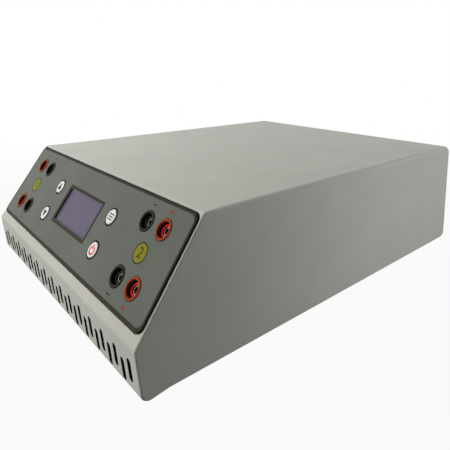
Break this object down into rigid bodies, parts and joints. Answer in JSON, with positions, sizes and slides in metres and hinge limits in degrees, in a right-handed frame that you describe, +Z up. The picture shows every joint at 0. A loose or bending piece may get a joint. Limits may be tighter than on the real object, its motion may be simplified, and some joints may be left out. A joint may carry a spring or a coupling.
{
  "type": "bench power supply",
  "caption": "Bench power supply with a sloping control panel, display, round keys, shrouded output sockets, vent slots, and a fan, power inlet and switch at the rear.",
  "frame": {"origin": "centre of the footprint, on the plane the feet stand on", "axes": "+Z up, +Y towards the rear panel, +X to the right seen from the front"},
  "size_m": [0.262, 0.3486, 0.098],
  "materials": {
    "housing_plastic": "fine matte texture",
    "overlay_film": "satin",
    "clear_plate": "polished",
    "display_glass": "smooth",
    "sheet_steel": "satin",
    "rear_paint": "satin",
    "cover_paint": "satin",
    "key_plastic": "satin",
    "red_plastic": "semi-gloss",
    "red_sleeve": "semi-gloss",
    "black_plastic": "semi-gloss",
    "contact_metal": "plated",
    "board_laminate": "satin",
    "foot_rubber": "matte",
    "core_steel": "varnished",
    "winding_tape": "taped",
    "sink_metal": "extruded",
    "guard_wire": "plated"
  },
  "bodies": {
    "chassis": {"housing": "housing_plastic", "panel_overlay": "overlay_film", "display_window": "clear_plate", "lcd_frame": "sheet_steel", "lcd_glass": "display_glass", "control_board": "board_laminate", "base_plate": "cover_paint", "rear_panel": "rear_paint", "inlet": "black_plastic", "switch_bezel": "black_plastic", "fan_frame": "black_plastic", "fan_guard": "guard_wire", "main_board": "board_laminate", "transformer_core": "core_steel", "transformer_winding": "winding_tape", "heat_sink": "sink_metal", "capacitor_1": "black_plastic", "capacitor_2": "black_plastic", "socket_1": "red_plastic", "contact_1": "contact_metal", "socket_sleeve_1": "red_sleeve", "socket_2": "black_plastic", "contact_2": "contact_metal", "socket_sleeve_2": "black_plastic", "socket_3": "red_plastic", "contact_3": "contact_metal", "socket_sleeve_3": "red_sleeve", "socket_4": "black_plastic", "contact_4": "contact_metal", "socket_sleeve_4": "black_plastic", "socket_5": "red_plastic", "contact_5": "contact_metal", "socket_sleeve_5": "red_sleeve", "socket_6": "black_plastic", "contact_6": "contact_metal", "socket_sleeve_6": "black_plastic", "socket_7": "red_plastic", "contact_7": "contact_metal", "socket_sleeve_7": "red_sleeve", "socket_8": "black_plastic", "contact_8": "contact_metal", "socket_sleeve_8": "black_plastic", "switch_1": "black_plastic", "foot_1": "foot_rubber", "switch_2": "black_plastic", "foot_2": "foot_rubber", "switch_3": "black_plastic", "foot_3": "foot_rubber", "switch_4": "black_plastic", "foot_4": "foot_rubber"},
    "key_down_body": {"key_down": "key_plastic"},
    "key_up_body": {"key_up": "key_plastic"},
    "key_bottom_right_body": {"key_bottom_right": "key_plastic"},
    "key_top_right_body": {"key_top_right": "key_plastic"},
    "fuse_drawer_body": {"fuse_drawer": "black_plastic"},
    "rocker_body": {"rocker": "black_plastic"},
    "fan_rotor_body": {"fan_rotor": "black_plastic"}
  },
  "joints": [
    {"name": "key_down_press", "type": "slide", "parent": "chassis", "child": "key_down_body", "axis": [0, 0.8155, -0.5788], "range_m": [0, 0.0006], "stiffness_N_per_m": 1500},
    {"name": "key_up_press", "type": "slide", "parent": "chassis", "child": "key_up_body", "axis": [0, 0.8155, -0.5788], "range_m": [0, 0.0006], "stiffness_N_per_m": 1500},
    {"name": "key_bottom_right_press", "type": "slide", "parent": "chassis", "child": "key_bottom_right_body", "axis": [0, 0.8155, -0.5788], "range_m": [0, 0.0006], "stiffness_N_per_m": 1500},
    {"name": "key_top_right_press", "type": "slide", "parent": "chassis", "child": "key_top_right_body", "axis": [0, 0.8155, -0.5788], "range_m": [0, 0.0006], "stiffness_N_per_m": 1500},
    {"name": "fuse_drawer_slide", "type": "slide", "parent": "chassis", "child": "fuse_drawer_body", "axis": [0, 1, 0], "range_m": [0, 0.012]},
    {"name": "rocker_tilt", "type": "hinge", "parent": "chassis", "child": "rocker_body", "pos_m": [-0.104, 0.16808, 0.051], "axis": [-1, 0, 0], "range_deg": [0, 16]},
    {"name": "fan_spin", "type": "hinge", "parent": "chassis", "child": "fan_rotor_body", "pos_m": [0.055, 0.16418, 0.051], "axis": [0, 1, 0], "continuous": true}
  ]
}
